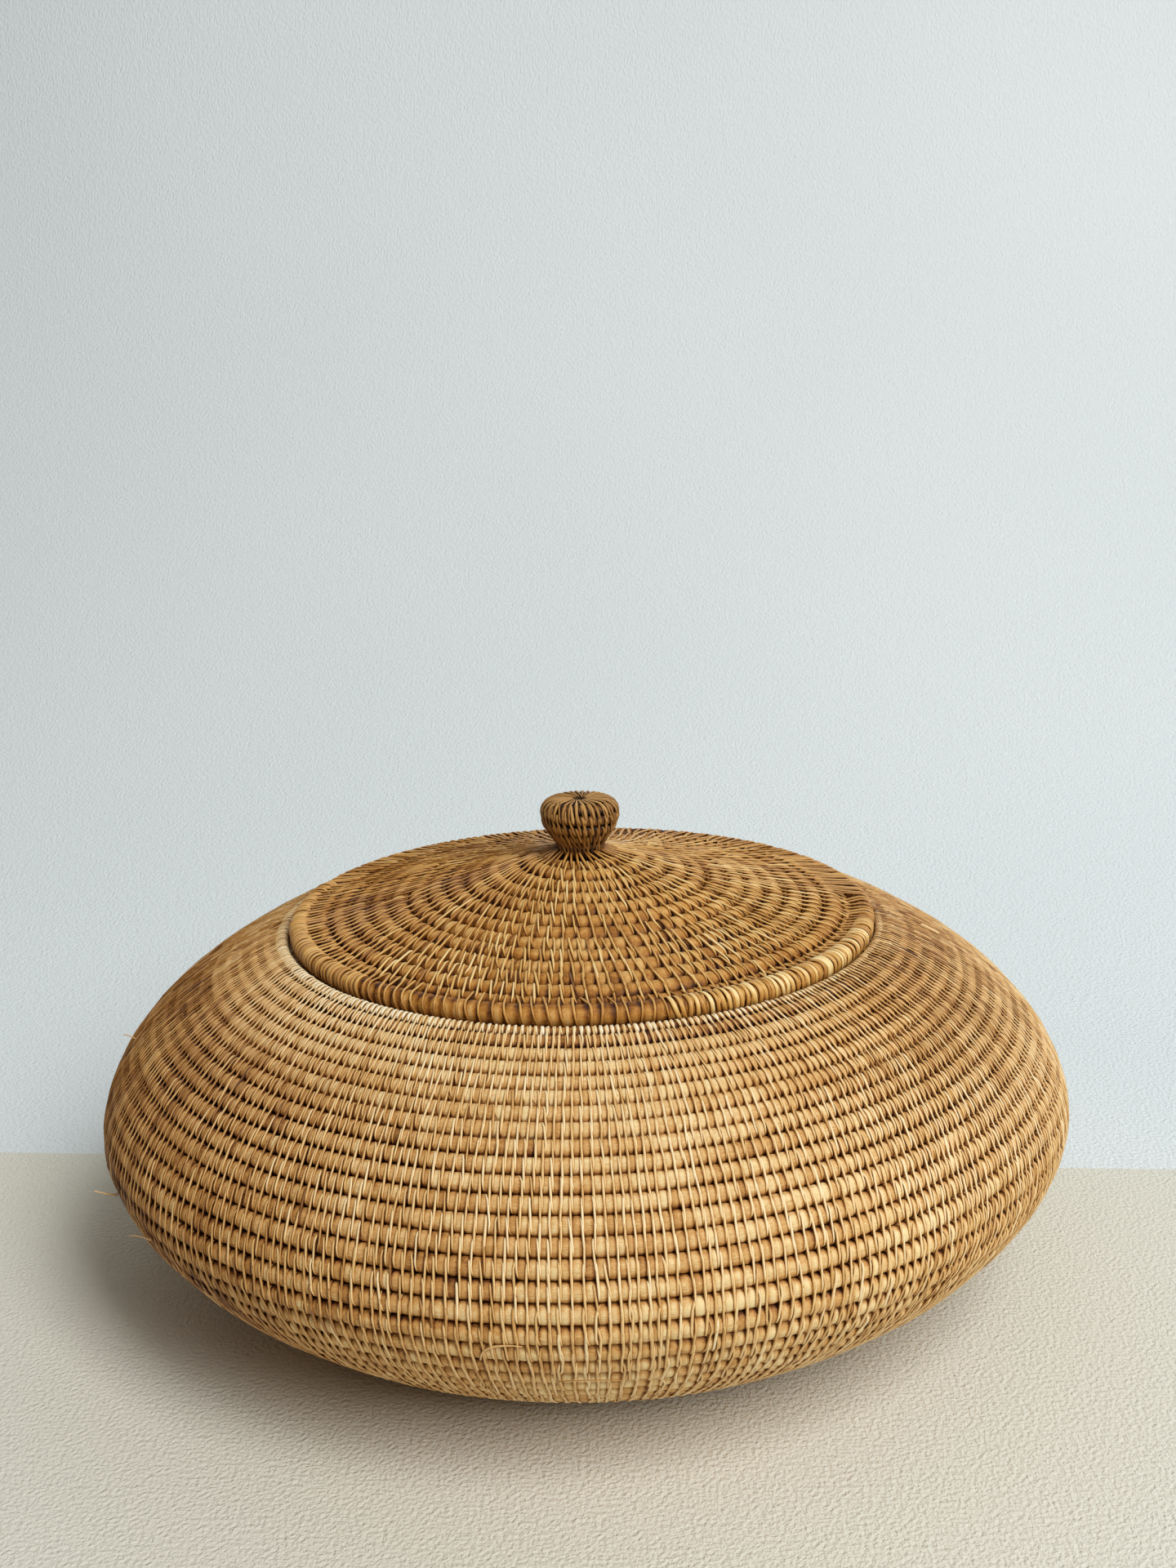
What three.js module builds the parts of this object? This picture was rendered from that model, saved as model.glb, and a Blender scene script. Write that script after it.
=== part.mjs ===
import * as THREE from "three";

// A large round basket of coiled cane, with a lift-off lid and a wound knob.
// Millimetres, +Z up. The origin lies on the table, under the middle of the base.
// Rows of cane are wound along an outline, turn upon turn, in lengths spliced end to end.
// Four hoops and the eye of the base are closed rings. The binding splints are left out.

// Pot, measured to the middle of its rows unless it says otherwise.
const bellyRadius = 230; // to the outside of the widest row
const baseRadius = 150; // where the wall leaves the table
const footBend = 16; // reach of the bend between base and wall
const underbellyDepth = 113; // drop of the lower curve from the belly to the axis
const underbellyFullness = 1.68; // 1 would be a cone and 2 an ellipse
const shoulderRise = 106.8; // rise of the upper curve from the belly to the axis
const shoulderFullness = 1.8;
const mouthRadius = 135; // clear opening inside the mouth hoop
const mouthDip = 32; // degrees from the last row down to the mouth hoop
const mouthLap = 1.8; // how far the pared end of the wall runs on over the mouth hoop
const eyeRadius = 8; // outside of the round start of the base

// Lid and knob.
const rimRadius = 139.5; // outside of the lid's rim
const lidRise = 30.5; // from the rim to the axis
const lidSweep = 1.4; // 1 would be a straight cone, more flares towards the rim
const mouthClearance = 2.2; // from the locating hoops to the mouth hoop, on the radius
const neckRadius = 11; // outside of the knob's neck
const knobRadius = 18.8; // outside of the knob's widest row
const knobHeight = 24.6; // from the lid at the neck to the top of the knob
const knobEdge = 5.5; // bend of the rows from the knob's top to its side
const knobTaper = 0.45; // depth at which the side draws in most, as a share of the height
const knobNeck = 0.75; // depth at which the side has become the neck
const knobHoleRadius = 1.6;
const coreClearance = 0.4; // from the knob's core to the rows round it

// Canes, as diameters with their binding.
const baseCane = 8.9;
const bellyCane = 7.2;
const shoulderCane = 6.1;
const mouthCane = 6.8;
const lidCane = 9;
const rimCane = 9.2;
const locatingCane = 6.4;
const knobCane = 4.6;

const rowGap = 0.5; // between neighbouring turns
const spliceGap = 0.3; // between the ends of two lengths
const seatGap = 0.3; // between hoops that rest on each other
const paredEnd = 0.3; // thickness left where a winding starts or ends, as a share

// Finish.
const strawColour = 0xc8a873;
const paleColour = 0xd6bd8e;
const honeyColour = 0xa97c48;
const duskyColour = 0x8a6a48;
const caneRoughness = 0.6;

// Facets.
const turnSteps = 24;
const fineRadius = 45; // turns inside this radius take every second step
const curveSteps = 16; // along each curve of an outline
const coreStart = 3; // curve step of the knob's outline at which the core's side begins

// Sections of a cane, in half widths along the outline and out from it. The hidden rows
// have a corner less, on the inside of the pot.
const roundSection = [[1, 0], [0.5, -1], [-0.5, -1], [-1, 0], [-0.5, 1], [0.5, 1]];
const hiddenSection = [[1, 0], [0, -1], [-1, 0], [-0.5, 1], [0.5, 1]];
const cornerReach = Math.hypot(0.5, 1); // of the section's corner, in half widths

// Superellipse with the belly as its widest point, at a given radius.
const bellyReach = bellyRadius - bellyCane / 2;

function belly(rise, fullness, radius) {
  return rise * (1 - (radius / bellyReach) ** fullness) ** (1 / fullness);
}

// Points of that curve between two radii. They are spaced by an angle that is 0 at the belly
// and a quarter turn at the axis.
function bellyPoints(rise, fullness, middle, fromRadius, toRadius) {
  const angleAt = (radius) => Math.acos(Math.min(1, radius / bellyReach) ** (fullness / 2));
  const points = [];
  for (let i = 0; i <= curveSteps; i++) {
    const angle = THREE.MathUtils.lerp(angleAt(fromRadius), angleAt(toRadius), i / curveSteps);
    const radius = bellyReach * Math.cos(angle) ** (2 / fullness);
    points.push(new THREE.Vector2(radius, middle + rise * Math.sin(angle) ** (2 / fullness)));
  }
  return points;
}

// Outline of the pot's rows, from the middle of the base over the belly to the mouth.
const baseLevel = baseCane / 2;
const bellyLevel = baseLevel + belly(underbellyDepth, underbellyFullness, baseRadius);
const nestDistance = (shoulderCane + mouthCane) / 2 + seatGap;
const mouthDipAngle = THREE.MathUtils.degToRad(mouthDip);
const lastRowRadius = mouthRadius + mouthCane / 2 + nestDistance * Math.cos(mouthDipAngle);
const underbellyPoints = bellyPoints(
  -underbellyDepth, underbellyFullness, bellyLevel, baseRadius + footBend, bellyRadius);
const wallEndRadius = lastRowRadius - shoulderCane / 2 - mouthLap;
const shoulderPoints = bellyPoints(
  shoulderRise, shoulderFullness, bellyLevel, bellyRadius, wallEndRadius);
const foot = underbellyPoints[0];
const potOutline = new THREE.Path()
  .moveTo(0, baseLevel)
  .lineTo(baseRadius - footBend, baseLevel)
  .quadraticCurveTo(baseRadius, baseLevel, foot.x, foot.y);
const baseEnd = potOutline.getLength();
potOutline.splineThru(underbellyPoints.slice(1));
const bellyEnd = potOutline.getLength();
potOutline.splineThru(shoulderPoints.slice(1));
const mouthEnd = potOutline.getLength();

// Hoops. Each is a centre in radius and height.
const lastRowLevel = bellyLevel + belly(shoulderRise, shoulderFullness, lastRowRadius);
const mouthHoop = new THREE.Vector2(
  mouthRadius + mouthCane / 2, lastRowLevel - nestDistance * Math.sin(mouthDipAngle));
const rimHoop = new THREE.Vector2(
  rimRadius - rimCane / 2, mouthHoop.y + (mouthCane + rimCane) / 2 + seatGap);
const locatingRadius = mouthRadius - mouthClearance - locatingCane / 2;
const locatingReach = ((rimCane + locatingCane) / 2) * cornerReach;
const locatingDrop = Math.sqrt(locatingReach ** 2 - (rimHoop.x - locatingRadius) ** 2);
const upperLocatingHoop = new THREE.Vector2(locatingRadius, rimHoop.y - locatingDrop);
const lowerLocatingHoop = new THREE.Vector2(
  locatingRadius, upperLocatingHoop.y - locatingCane - rowGap);

// Outline of the lid's rows, from the neck out to the rim.
const lidLevel = (radius) => rimHoop.y + lidRise * (1 - radius / rimHoop.x) ** lidSweep;
const lidStart = neckRadius + seatGap;
const lidPoints = [];
for (let i = 0; i <= curveSteps; i++) {
  const radius = THREE.MathUtils.lerp(lidStart, rimHoop.x - rimCane / 2, i / curveSteps);
  lidPoints.push(new THREE.Vector2(radius, lidLevel(radius)));
}
const lidOutline = new THREE.Path().moveTo(lidPoints[0].x, lidPoints[0].y);
lidOutline.splineThru(lidPoints.slice(1));

// Outline of the knob's rows, from the hole in its top down through the lid.
const neckLevel = lidLevel(neckRadius);
const neckFoot = neckLevel - lidCane / 2;
const knobTop = neckLevel + lidCane / 2 + knobHeight - knobCane / 2;
const knobSide = knobRadius - knobCane / 2;
const neckSide = neckRadius - knobCane / 2;
const knobOutline = new THREE.Path()
  .moveTo(knobHoleRadius, knobTop)
  .lineTo(knobSide - knobEdge, knobTop)
  .absarc(knobSide - knobEdge, knobTop - knobEdge, knobEdge, Math.PI / 2, 0, true)
  .bezierCurveTo(
    knobSide, knobTop - knobHeight * knobTaper,
    neckSide, knobTop - knobHeight * knobTaper,
    neckSide, knobTop - knobHeight * knobNeck)
  .lineTo(neckSide, neckFoot);

// The corners of a section at a position along an outline, in the half plane at an angle
// about the axis.
function sectionPoints(outline, section, position, half, angle) {
  const share = THREE.MathUtils.clamp(position / outline.getLength(), 0, 1);
  const centre = outline.getPoint(share);
  const along = outline.getTangent(share);
  return section.map(([across, out]) => {
    const radius = centre.x + half * (along.x * across + along.y * out);
    const level = centre.y + half * (along.y * across - along.x * out);
    return new THREE.Vector3(radius * Math.cos(angle), radius * Math.sin(angle), level);
  });
}

// Steps of a winding along an outline. The turns are packed by their edges: the lower edge
// of a turn lies one row gap above the upper edge of the turn before it. Over its first and
// last turn the cane is pared down, so that the winding begins and ends level.
function wind(outline, from, caneAt) {
  const to = outline.getLength();
  const paredPitch = (position) => paredEnd * caneAt(position) + rowGap;
  const start = from + paredPitch(from);
  const end = to - paredPitch(to);
  const full = [start];
  while (full[full.length - 1] < end) {
    const position = full[full.length - 1];
    full.push(position + (caneAt(position) + rowGap) / turnSteps);
  }
  const stretch = (end - start) / (full[full.length - 1] - start);
  const edges = full.map((position) => start + (position - start) * stretch);
  for (let i = 1; i <= turnSteps; i++) {
    edges.unshift(start - (paredPitch(from) * i) / turnSteps);
    edges.push(end + (paredPitch(to) * i) / turnSteps);
  }
  const steps = [];
  for (let step = 0; step + turnSteps < edges.length; step++) {
    const lower = edges[step];
    const upper = edges[step + turnSteps] - rowGap;
    const middle = (lower + upper) / 2;
    if (step % 2 === 0 || outline.getPoint(middle / to).x > fineRadius) {
      steps.push({ step, middle, half: (upper - lower) / 2 });
    }
  }
  return steps;
}

// The square end of a length, half way between two rings and half the splice gap back.
function spliceRing(before, after, side) {
  const share = 0.5 + (side * spliceGap) / 2 / before[0].distanceTo(after[0]);
  return before.map((point, i) => point.clone().lerp(after[i], share));
}

// A closed tube over a list of rings, with a flat end at each end of it.
function tubeGeometry(rings, closed) {
  const sides = rings[0].length;
  const faces = [];
  const last = closed ? rings.length : rings.length - 1;
  for (let i = 0; i < last; i++) {
    const here = i * sides;
    const next = ((i + 1) % rings.length) * sides;
    for (let j = 0; j < sides; j++) {
      const k = (j + 1) % sides;
      faces.push(here + j, next + j, next + k, here + j, next + k, here + k);
    }
  }
  if (!closed) {
    const end = (rings.length - 1) * sides;
    for (let j = 1; j + 1 < sides; j++) {
      faces.push(0, j, j + 1, end, end + j + 1, end + j);
    }
  }
  const geometry = new THREE.BufferGeometry().setFromPoints(rings.flat());
  geometry.setIndex(faces);
  geometry.computeVertexNormals();
  return geometry;
}

// Least distance between the corners of each turn and the next turn of the same length.
function leastGap(rings) {
  const nearest = new THREE.Vector3();
  let least = Infinity;
  for (const [step, points] of rings) {
    const above = rings.get(step + turnSteps) ?? [];
    above.forEach((corner, i) => {
      const edge = new THREE.Line3(corner, above[(i + 1) % above.length]);
      for (const point of points) {
        edge.closestPointToPoint(point, true, nearest);
        least = Math.min(least, nearest.distanceTo(point));
      }
    });
  }
  return least;
}

function piece(name, geometry, colour) {
  const material = new THREE.MeshStandardMaterial({
    color: colour, roughness: caneRoughness, metalness: 0 });
  const mesh = new THREE.Mesh(geometry, material);
  mesh.name = name;
  return mesh;
}

// Cuts a winding into named lengths. Each stretch of it ends at a position on the outline.
function canesAlong(outline, steps, stretches) {
  const meshes = [];
  let from = 0;
  for (const { name, lengths, end, section, colour } of stretches) {
    const beyond = steps.findIndex((entry) => entry.middle > end);
    const to = beyond < 0 ? steps.length - 2 : beyond;
    for (let i = 0; i < lengths; i++) {
      const first = from + Math.round(((to - from) * i) / lengths);
      const last = from + Math.round(((to - from) * (i + 1)) / lengths);
      const rings = new Map();
      for (const { step, middle, half } of steps.slice(first, last + 2)) {
        const angle = (2 * Math.PI * step) / turnSteps;
        rings.set(step, sectionPoints(outline, section, middle, half, angle));
      }
      const tube = [...rings.values()];
      tube[0] = spliceRing(tube[0], tube[1], 1);
      tube.push(spliceRing(tube[tube.length - 2], tube.pop(), -1));
      const title = lengths > 1 ? `${name}_${i + 1}` : name;
      meshes.push(piece(title, tubeGeometry(tube, false), colour));
      console.log(`${title}: least gap between turns ${leastGap(rings).toFixed(2)} mm`);
    }
    from = to;
  }
  return meshes;
}

// A closed hoop of cane with its flats up and down.
function hoopGeometry(centre, cane) {
  const rings = [];
  for (let step = 0; step < turnSteps; step++) {
    const angle = (2 * Math.PI * step) / turnSteps;
    rings.push(roundSection.map(([across, out]) => {
      const radius = centre.x + (across * cane) / 2;
      return new THREE.Vector3(
        radius * Math.cos(angle), radius * Math.sin(angle), centre.y - (out * cane) / 2);
    }));
  }
  return tubeGeometry(rings, true);
}

// A solid of revolution from its outline, given from the bottom to the top.
function turned(profile) {
  return new THREE.LatheGeometry(profile, turnSteps / 2).rotateX(Math.PI / 2);
}

// Pot.
const pot = new THREE.Group();

function potCane(position) {
  if (position < bellyEnd) {
    return THREE.MathUtils.mapLinear(
      Math.max(position, baseEnd), baseEnd, bellyEnd, baseCane, bellyCane);
  }
  return THREE.MathUtils.mapLinear(position, bellyEnd, mouthEnd, bellyCane, shoulderCane);
}

const eyeProfile = [
  new THREE.Vector2(0, 0),
  new THREE.Vector2(eyeRadius - baseCane / 4, 0),
  new THREE.Vector2(eyeRadius, baseLevel),
  new THREE.Vector2(eyeRadius - baseCane / 4, baseCane),
  new THREE.Vector2(0, baseCane),
];
pot.add(piece("base_eye", turned(eyeProfile), strawColour));
pot.add(...canesAlong(potOutline, wind(potOutline, eyeRadius + rowGap, potCane), [
  { name: "base_coil", lengths: 2, end: baseEnd, section: hiddenSection, colour: strawColour },
  { name: "lower_wall_coil", lengths: 3, end: bellyEnd, section: hiddenSection, colour: strawColour },
  { name: "shoulder_coil", lengths: 4, end: mouthEnd, section: roundSection, colour: strawColour },
]));
pot.add(piece("mouth_hoop", hoopGeometry(mouthHoop, mouthCane), paleColour));

// Lid.
const lid = new THREE.Group();
lid.add(...canesAlong(lidOutline, wind(lidOutline, 0, () => lidCane), [
  { name: "lid_coil", lengths: 3, end: Infinity, section: roundSection, colour: honeyColour },
]));
lid.add(piece("lid_rim_hoop", hoopGeometry(rimHoop, rimCane), honeyColour));
lid.add(piece("upper_locating_hoop", hoopGeometry(upperLocatingHoop, locatingCane), honeyColour));
lid.add(piece("lower_locating_hoop", hoopGeometry(lowerLocatingHoop, locatingCane), honeyColour));

// Knob. The core fills the inside of its rows and ends flush with the underside of the lid.
lid.add(...canesAlong(knobOutline, wind(knobOutline, 0, () => knobCane), [
  { name: "knob_coil", lengths: 2, end: Infinity, section: roundSection, colour: duskyColour },
]));
const coreInset = knobCane / 2 + coreClearance;
const coreProfile = [new THREE.Vector2(0, knobTop - coreInset)];
for (let i = coreStart; i <= curveSteps; i++) {
  const centre = knobOutline.getPoint(i / curveSteps);
  const along = knobOutline.getTangent(i / curveSteps);
  coreProfile.push(new THREE.Vector2(
    centre.x + along.y * coreInset, centre.y - along.x * coreInset));
}
coreProfile.push(new THREE.Vector2(0, neckFoot));
lid.add(piece("knob_core", turned(coreProfile.reverse()), duskyColour));

const basket = new THREE.Group();
basket.add(pot, lid);
export default basket;
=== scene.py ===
import math

import bpy
import numpy as np
from mathutils import Matrix, Vector


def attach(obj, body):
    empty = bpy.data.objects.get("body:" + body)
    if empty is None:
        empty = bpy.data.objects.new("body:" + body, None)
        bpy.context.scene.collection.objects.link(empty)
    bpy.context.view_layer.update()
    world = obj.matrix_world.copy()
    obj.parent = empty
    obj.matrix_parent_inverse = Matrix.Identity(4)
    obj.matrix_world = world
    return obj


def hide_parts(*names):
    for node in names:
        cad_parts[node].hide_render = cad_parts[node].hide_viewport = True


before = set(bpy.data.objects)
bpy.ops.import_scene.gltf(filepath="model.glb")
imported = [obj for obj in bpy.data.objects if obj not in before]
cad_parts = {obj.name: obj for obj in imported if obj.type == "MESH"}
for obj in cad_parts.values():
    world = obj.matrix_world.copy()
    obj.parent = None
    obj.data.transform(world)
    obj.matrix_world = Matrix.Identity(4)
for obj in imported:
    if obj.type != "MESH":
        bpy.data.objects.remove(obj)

# Lidded basket of coiled cane. Sizes are in millimetres until a mesh is made.
mm = 0.001
scene = bpy.context.scene
randomFrom = np.random.default_rng
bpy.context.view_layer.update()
stepsPerTurn = 24  # as the solids are wound
fineBeyond = 45  # radius within which the solids have every second step only
rowGap = 0.5
paredEnd = 0.3  # thickness left where a cane starts or ends, as a share
caneSides = 14
turnedSides = 48
spliceGap = 0.15  # from the end of a cane to the splice
grainRadius = 3.5  # at which fibres are counted round a cane
grainSpread = 900  # so that each strip is cut from another part of the grain


# Small helpers.

def linear(hexColour):
    channels = [int(hexColour[i:i + 2], 16) / 255 for i in (1, 3, 5)]
    return [c / 12.92 if c <= 0.04045 else ((c + 0.055) / 1.055) ** 2.4 for c in channels] + [1]


def addNode(tree, kind, settings=None, links=None):
    node = tree.nodes.new("ShaderNode" + kind)
    for name, value in (settings or {}).items():
        if name == "stops":
            ramp = node.color_ramp
            while len(ramp.elements) < len(value):
                ramp.elements.new(0.5)
            for element, (position, colour) in zip(ramp.elements, value):
                element.position = position
                element.color = colour
        elif isinstance(name, int) or name in node.inputs:
            node.inputs[name].default_value = value
        else:
            setattr(node, name, value)
    for name, socket in (links or {}).items():
        tree.links.new(socket, node.inputs[name])
    return node


def addObject(name, data):
    made = bpy.data.objects.new(name, data)
    scene.collection.objects.link(made)
    return made


def stacked(*parts):  # numbers that fit each other's shape, side by side
    return np.stack(np.broadcast_arrays(*parts), -1)


def placed(radius, level, azimuth):
    return stacked(radius * np.cos(azimuth), radius * np.sin(azimuth), level)


def evenly(count, shift=0.0):  # azimuths all round
    return math.tau * (np.arange(count) + shift) / count


def drift(run, wavelength, seed):  # slow random wander between -1 and 1 along a length
    source = randomFrom(seed)
    knots = source.uniform(-1, 1, int(np.max(run) / wavelength) + 4)
    place = np.maximum(run, 0) / wavelength
    index = place.astype(int)
    share = place - index
    share = share * share * (3 - 2 * share)
    return knots[index] * (1 - share) + knots[index + 1] * share


def sector(azimuth, middle, width, edge):  # 1 within a sector of the basket, 0 outside, in degrees
    away = np.abs((np.degrees(azimuth) - middle + 180) % 360 - 180)
    return np.clip((width / 2 + edge - away) / edge, 0, 1)


# Outlines and windings, the same as the solids'.

def outlineThrough(points):
    points = np.array(points, float)
    run = np.concatenate([[0], np.cumsum(np.hypot(*np.diff(points, axis=0).T))])
    slope = np.gradient(points, run, axis=0)
    slope /= np.hypot(*slope.T)[:, None]
    return {"run": run, "points": points, "slope": slope}


def alongOutline(outline, run):  # radius, level and the slope of both
    return [np.interp(run, outline["run"], outline[key][:, i]) for key in ("points", "slope") for i in (0, 1)]


def wind(outline, start, caneAt, seed, look):
    end = outline["run"][-1]
    pitchAtStart = paredEnd * caneAt(start) + rowGap
    pitchAtEnd = paredEnd * caneAt(end) + rowGap
    first, last = start + pitchAtStart, end - pitchAtEnd
    full = [first]
    while full[-1] < last:
        full.append(full[-1] + (caneAt(full[-1]) + rowGap) / stepsPerTurn)
    full = first + (np.array(full) - first) * (last - first) / (full[-1] - first)
    ramp = np.arange(1, stepsPerTurn + 1) / stepsPerTurn
    edges = np.concatenate([first - pitchAtStart * ramp[::-1], full, last + pitchAtEnd * ramp])
    turns = (len(edges) - 1 - stepsPerTurn) / stepsPerTurn
    coil = dict(look, outline=outline, edges=edges, turns=turns, seed=seed, caneAt=caneAt)
    grid = np.linspace(0, turns, int(turns * 4 * stepsPerTurn) + 1)
    radius = alongOutline(outline, rowRun(coil, grid)[0])[0]
    step = np.diff(grid) * math.pi * (radius[1:] + radius[:-1])
    coil["turnGrid"] = grid
    coil["woundGrid"] = np.concatenate([[0], np.cumsum(step)])
    return coil


def rowRun(coil, turn):
    step = np.clip(turn, 0, coil["turns"]) * stepsPerTurn
    number = np.arange(len(coil["edges"]))
    lower = np.interp(step, number, coil["edges"])
    upper = np.interp(step + stepsPerTurn, number, coil["edges"]) - rowGap
    return (lower + upper) / 2, (upper - lower) / 2


# What the hand makes uneven along a row: how much, over how many mm of cane, and its own seed.
hand = {"bulge": (0.22, 61, 0), "ripple": (0.1, 17, 1),
        "thickness": (0.02, 43, 2), "tightness": (0.1, 310, 5)}
# How a cane's tone wanders in spots and stretches, and how much the painted shade between its rows varies, as
# above.
shading = {"spots": (0.1, 23, 3), "stretches": (0.1, 190, 4), "cleftShadeWander": (0.8, 640, 6)}


def wanders(kinds, wound, seed):
    return [amount * drift(wound, length, seed + own) for amount, length, own in kinds.values()]


def rowAt(coil, turn):  # a row's centre, half its size out (thick) and up (snug), and which way is up
    run, half = rowRun(coil, turn)
    radius, level, upR, upZ = alongOutline(coil["outline"], run)
    wound = np.interp(turn, coil["turnGrid"], coil["woundGrid"])
    side, uneven, low = coil["side"], coil["uneven"], coil["lowAt"](run)
    bulge, ripple, thickness, tightness = wanders(hand, wound, coil["seed"])
    shift = uneven * (bulge + ripple)
    pared = np.minimum(1, half / np.maximum(coil["caneAt"](run) / 2, 0.1))
    thick = half * (0.97 + uneven * thickness) - coil["shrinkAt"](run) * pared
    snug = half + rowGap * (0.36 + 0.13 * low + uneven * (1 - low) * tightness)
    return {"r": radius + shift * side * upZ, "z": level - shift * side * upR, "thick": thick, "snug": snug,
            "upR": upR, "upZ": upZ, "wound": wound, "run": run, "low": low}


def lengthsAlong(coil, stretches):  # where the solids are spliced: name, first turn, last turn
    number = np.arange(0, int(round(coil["turns"] * stepsPerTurn)) + 1)
    middle = rowRun(coil, number / stepsPerTurn)[0]
    kept = (number % 2 == 0) | (alongOutline(coil["outline"], middle)[0] > fineBeyond)
    number, middle = number[kept], middle[kept]
    found, start = [], 0
    for name, count, end in stretches:
        beyond = np.nonzero(middle > end)[0]
        stop = int(beyond[0]) if len(beyond) else len(number) - 2
        for i in range(count):
            a = start + round((stop - start) * i / count)
            b = start + round((stop - start) * (i + 1) / count)
            title = f"{name}_{i + 1}" if count > 1 else name
            found.append((title, (number[a] + number[a + 1]) / 2 / stepsPerTurn,
                          (number[b] + number[b + 1]) / 2 / stepsPerTurn))
        start = stop
    return found


# Meshes.

# A piece is made of rings of points: shape (count, stations, sides, 3). Each count is a strip or
# a length of cane, with flat ends unless it is closed.
def makePiece(name, rings, tone, fibre, material, body, slot, closed=False):
    count, stations, sides = rings.shape[:3]
    index = np.arange(count * stations * sides).reshape(count, stations, sides)
    here = index if closed else index[:, :-1]
    there = np.roll(index, -1, 1) if closed else index[:, 1:]
    quads = np.stack([here, np.roll(here, -1, 2), np.roll(there, -1, 2), there], -1).reshape(-1, 4)
    corners = [quads.ravel()]
    starts = [np.arange(len(quads)) * 4]
    if not closed:
        ends = np.concatenate([index[:, 0, ::-1], index[:, -1, :]]).reshape(-1, sides)
        corners.append(ends.ravel())
        starts.append(len(quads) * 4 + np.arange(len(ends)) * sides)
    corners, starts = np.concatenate(corners), np.concatenate(starts)
    points = rings.reshape(-1, 3)
    a, b, c, d = (points[quads[:, i]] - points.mean(0) for i in range(4))
    if np.sum(a * (np.cross(b, c) + np.cross(c, d))) < 0:  # inside out
        sizes = np.diff(np.append(starts, len(corners)))
        last = starts + sizes - 1
        offset = np.arange(len(corners)) - np.repeat(starts, sizes)
        corners = corners[np.repeat(last, sizes) - offset]
    mesh = bpy.data.meshes.new(name)
    mesh.vertices.add(len(points))
    mesh.vertices.foreach_set("co", (points * mm).astype(np.float32).ravel())
    mesh.loops.add(len(corners))
    mesh.loops.foreach_set("vertex_index", corners.astype(np.int32))
    mesh.polygons.add(len(starts))
    mesh.polygons.foreach_set("loop_start", starts.astype(np.int32))
    mesh.update(calc_edges=True)
    mesh.shade_smooth()
    for kind, field, key, values, shape in (("FLOAT", "tone", "value", tone, rings.shape[:3]),
                                            ("FLOAT_VECTOR", "fibre", "vector", fibre, rings.shape)):
        values = np.broadcast_to(values, shape).astype(np.float32).ravel()
        mesh.attributes.new(field, kind, "POINT").data.foreach_set(key, values)
    mesh.materials.append(material)
    piece = addObject(name, mesh)
    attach(piece, body)
    return piece


def pillow(angle, low=0):  # section of a row: out and up, flatter outside than a circle is
    return np.sign(np.cos(angle)) * np.abs(np.cos(angle)) ** (0.64 - 0.2 * low), np.sin(angle)


# A cane between two strips: share of the way, share of its thickness, how much paler it is.
# The darker shares, at and beside the strips, are painted shade where the strips press in and cast shadow.
pressing = np.array([[0.0, 0.92, -0.42], [0.24, 0.995, 0.03], [0.58, 1.01, 0.08], [0.85, 0.975, -0.28]])


def caneRings(coil, strips, first, last):
    inside = (strips["turn"] > first + 0.002) & (strips["turn"] + strips["gap"] < last - 0.002)
    turn = strips["turn"][inside][:, None] + strips["gap"][inside][:, None] * pressing[None, :, 0]
    ends = np.interp([first, last], coil["turnGrid"], coil["woundGrid"]) + [spliceGap, -spliceGap]
    ends = np.interp(ends, coil["woundGrid"], coil["turnGrid"])
    turn = np.concatenate([ends[:1], turn.ravel(), ends[1:]])
    press = np.concatenate([[1], np.tile(pressing[:, 1], inside.sum()), [1]])
    source = randomFrom(coil["seed"] + int(first * 7))
    window = np.repeat(source.normal(0, 0.09, inside.sum()), len(pressing))
    window = np.concatenate([[0], window + np.tile(pressing[:, 2], inside.sum()), [0]])
    row = rowAt(coil, turn)
    corner, low, side = evenly(caneSides), row["low"][:, None], coil["side"]
    out, up = pillow(corner, low)
    thick, snug = (row["thick"] * press)[:, None], (row["snug"] * (0.4 + 0.6 * press))[:, None]
    radius = row["r"][:, None] + thick * side * row["upZ"][:, None] * out + snug * row["upR"][:, None] * up
    level = row["z"][:, None] - thick * side * row["upR"][:, None] * out + snug * row["upZ"][:, None] * up
    rings = placed(radius, level, math.tau * turn[:, None])
    spots, stretches, cleftShadeWander = wanders(shading, row["wound"], coil["seed"])
    tone = coil["tone"] + spots + stretches + window + coil["toneAt"](row["run"], math.tau * turn)
    # Painted shade: the cane darkens towards its top and bottom, in the grooves between rows, less where rows
    # lie flat.
    cleftShade = coil["cleftShade"] * (1 - 0.65 * low) * (1 + cleftShadeWander[:, None])
    tone = tone[:, None] + 0.04 * np.maximum(out, 0) ** 2 - cleftShade * np.abs(up) ** 4
    return rings[None], tone[None], stacked(row["wound"][:, None], corner * grainRadius, coil["seed"])[None]


# Section of a split strip: across in widths, height in thicknesses, tone.
stripSection = np.array([[-0.5, -0.15, 0.3], [-0.3, 0.85, 0.85], [0.26, 1.0, 1.0], [0.5, -0.15, 0.25],
                         [0.0, -0.5, 0.2]])
flatSection = np.array([[-0.5, -0.1, 0.4], [0.0, 1.0, 1.0], [0.5, -0.1, 0.4], [0.0, -0.5, 0.3]])
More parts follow.
